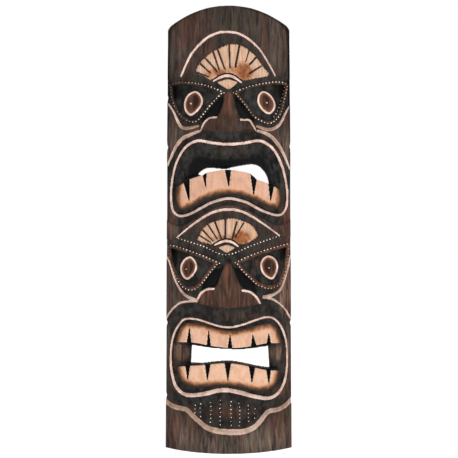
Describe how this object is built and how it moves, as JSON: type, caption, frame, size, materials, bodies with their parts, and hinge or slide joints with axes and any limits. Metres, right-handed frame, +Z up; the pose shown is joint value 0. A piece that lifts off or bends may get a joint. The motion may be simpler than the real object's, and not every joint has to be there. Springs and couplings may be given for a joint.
{
  "type": "carved tiki wall plaque",
  "caption": "Tall bowed wood wall plaque carved with two tiki faces, cut through at the mouths, with painted dots and a swinging ring hanger on its hollowed back.",
  "frame": {"origin": "middle of the foot, at the bottom centre of the box", "axes": "+Z up the plaque, the faces look towards -Y, +X to the right seen from the front"},
  "size_m": [0.29, 0.066, 1],
  "materials": {
    "carved_wood": "dark stained and waxed, with paler cut lines and teeth",
    "dot_paint": "thick cream paint",
    "plated_strap": "brass plated steel strip",
    "screw_steel": "zinc plated",
    "ring_wire": "zinc plated wire"
  },
  "bodies": {
    "plaque": {"carved_board": "carved_wood", "upper_left_eye_dots": "dot_paint", "upper_right_eye_dots": "dot_paint", "lower_left_eye_dots": "dot_paint", "lower_right_eye_dots": "dot_paint", "brow_bar_dots": "dot_paint", "chin_dots": "dot_paint", "eye_glints": "dot_paint", "hanger_strap": "plated_strap", "hanger_screws": "screw_steel"},
    "ring": {"hanger_ring": "ring_wire"}
  },
  "joints": [
    {"name": "ring_swing", "type": "hinge", "parent": "plaque", "child": "ring", "pos_m": [0, 0.0158, 0.9], "axis": [1, 0, 0], "range_deg": [0, 180]}
  ]
}
